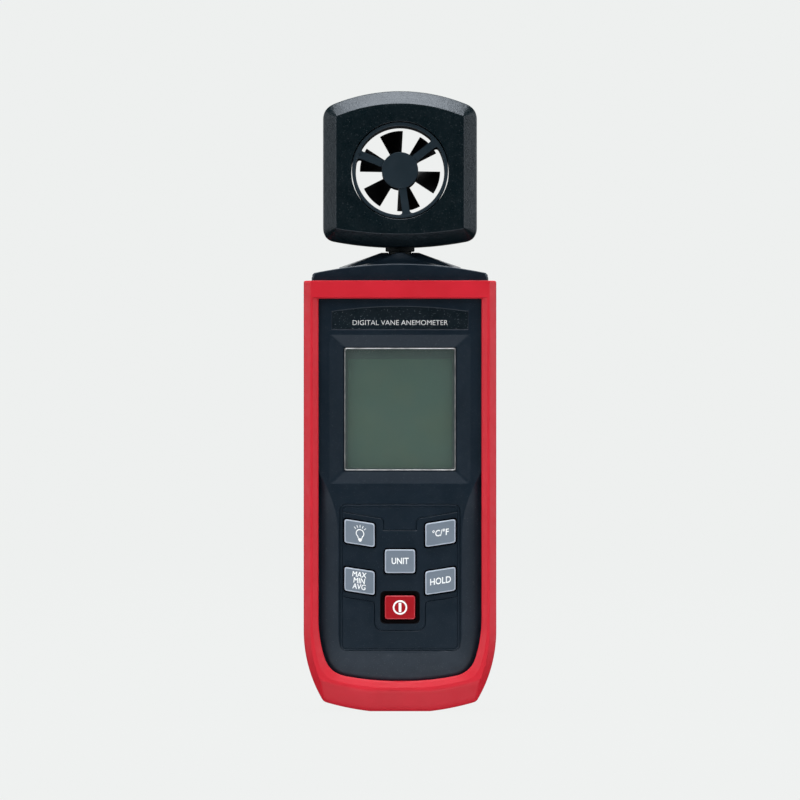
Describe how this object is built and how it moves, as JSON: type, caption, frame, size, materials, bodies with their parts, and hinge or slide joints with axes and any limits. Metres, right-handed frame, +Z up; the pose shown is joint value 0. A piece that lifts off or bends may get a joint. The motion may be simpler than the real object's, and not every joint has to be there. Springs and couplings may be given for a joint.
{
  "type": "vane anemometer",
  "caption": "Hand-held vane anemometer: a swivelling square head with an impeller in a round duct, on a black case with display and keys in a red rubber boot.",
  "frame": {"origin": "centre of the base that the rubber boot stands on, bottom centre of the bounding box", "axes": "+Z up, from the foot of the boot to the vane head; the display and keys face -Y; +X to the right of someone reading the display"},
  "size_m": [0.062, 0.032, 0.2],
  "materials": {
    "boot_rubber": "satin moulded rubber",
    "brass": "bright",
    "cable_jacket": "matt black",
    "case_plastic": "fine-grained ABS, blue-black",
    "cell_jacket": "glossy printed jacket",
    "chip": "matt black",
    "circuit_board": "green solder mask",
    "connector_plastic": "natural nylon",
    "foam": "open-cell, black",
    "jewel": "polished",
    "key_grey": "satin blue-grey rubber",
    "key_red": "satin red rubber",
    "label_film": "satin silver film",
    "lcd_glass": "grey-green, glossy, unlit",
    "light_guide": "clear milky",
    "silicone": "matt grey",
    "spider_plastic": "satin",
    "steel": "zinc-plated",
    "vane_plastic": "satin black",
    "window_glass": "clear, glossy acrylic"
  },
  "bodies": {
    "case": {"battery_cell_1": "cell_jacket", "battery_cell_2": "cell_jacket", "battery_cell_3": "cell_jacket", "battery_leaf_1": "brass", "battery_leaf_2": "brass", "battery_leaf_3": "brass", "battery_spring_1": "steel", "battery_spring_2": "steel", "battery_spring_3": "steel", "board_screw_1": "steel", "board_screw_2": "steel", "board_screw_3": "steel", "board_screw_4": "steel", "buzzer": "chip", "cable_socket": "connector_plastic", "case_screw_1": "steel", "case_screw_2": "steel", "case_screw_3": "steel", "case_screw_4": "steel", "display_window": "window_glass", "friction_washer": "silicone", "front_case": "case_plastic", "key_membrane": "silicone", "lcd_glass": "lcd_glass", "lcd_light_guide": "light_guide", "main_board": "circuit_board", "microcontroller": "chip", "rating_label": "label_film", "rear_case": "case_plastic", "rubber_boot": "boot_rubber", "sensor_cable": "cable_jacket", "zebra_strip": "silicone"},
    "head": {"head_front_shell": "case_plastic", "head_rear_shell": "case_plastic", "swivel_stem": "case_plastic", "stem_clip": "steel", "vane_duct": "vane_plastic", "front_spider": "spider_plastic", "rear_spider": "spider_plastic", "front_bearing": "jewel", "rear_bearing": "jewel", "sensor_board": "circuit_board", "hall_sensor": "chip", "temperature_sensor": "jewel", "head_screw_1": "steel", "head_screw_2": "steel", "head_screw_3": "steel", "head_screw_4": "steel"},
    "vane": {"impeller": "vane_plastic", "hub_magnet": "chip", "vane_shaft": "steel"},
    "door": {"battery_door": "case_plastic", "battery_door_pad": "foam"},
    "hold_button": {"key_hold": "key_grey"},
    "light_button": {"key_light": "key_grey"},
    "max_min_avg_button": {"key_max_min_avg": "key_grey"},
    "power_button": {"key_power": "key_red"},
    "speed_unit_button": {"key_speed_unit": "key_grey"},
    "temperature_unit_button": {"key_temperature_unit": "key_grey"}
  },
  "joints": [
    {"name": "head_swivel", "type": "hinge", "parent": "case", "child": "head", "pos_m": [0, 0, 0.148], "axis": [0, 0, 1], "range_deg": [-90, 90]},
    {"name": "vane_spin", "type": "hinge", "parent": "head", "child": "vane", "pos_m": [0, 0, 0.1743], "axis": [0, 1, 0], "continuous": true},
    {"name": "battery_door_hinge", "type": "hinge", "parent": "case", "child": "door", "pos_m": [0, 0.0135, 0.019], "axis": [-1, 0, 0], "range_deg": [0, 60]},
    {"name": "key_hold_press", "type": "slide", "parent": "case", "child": "hold_button", "axis": [0, 1, 0], "range_m": [0, 0.0008], "stiffness_N_per_m": 1000},
    {"name": "key_light_press", "type": "slide", "parent": "case", "child": "light_button", "axis": [0, 1, 0], "range_m": [0, 0.0008], "stiffness_N_per_m": 1000},
    {"name": "key_max_min_avg_press", "type": "slide", "parent": "case", "child": "max_min_avg_button", "axis": [0, 1, 0], "range_m": [0, 0.0008], "stiffness_N_per_m": 1000},
    {"name": "key_power_press", "type": "slide", "parent": "case", "child": "power_button", "axis": [0, 1, 0], "range_m": [0, 0.0008], "stiffness_N_per_m": 1000},
    {"name": "key_speed_unit_press", "type": "slide", "parent": "case", "child": "speed_unit_button", "axis": [0, 1, 0], "range_m": [0, 0.0008], "stiffness_N_per_m": 1000},
    {"name": "key_temperature_unit_press", "type": "slide", "parent": "case", "child": "temperature_unit_button", "axis": [0, 1, 0], "range_m": [0, 0.0008], "stiffness_N_per_m": 1000}
  ]
}
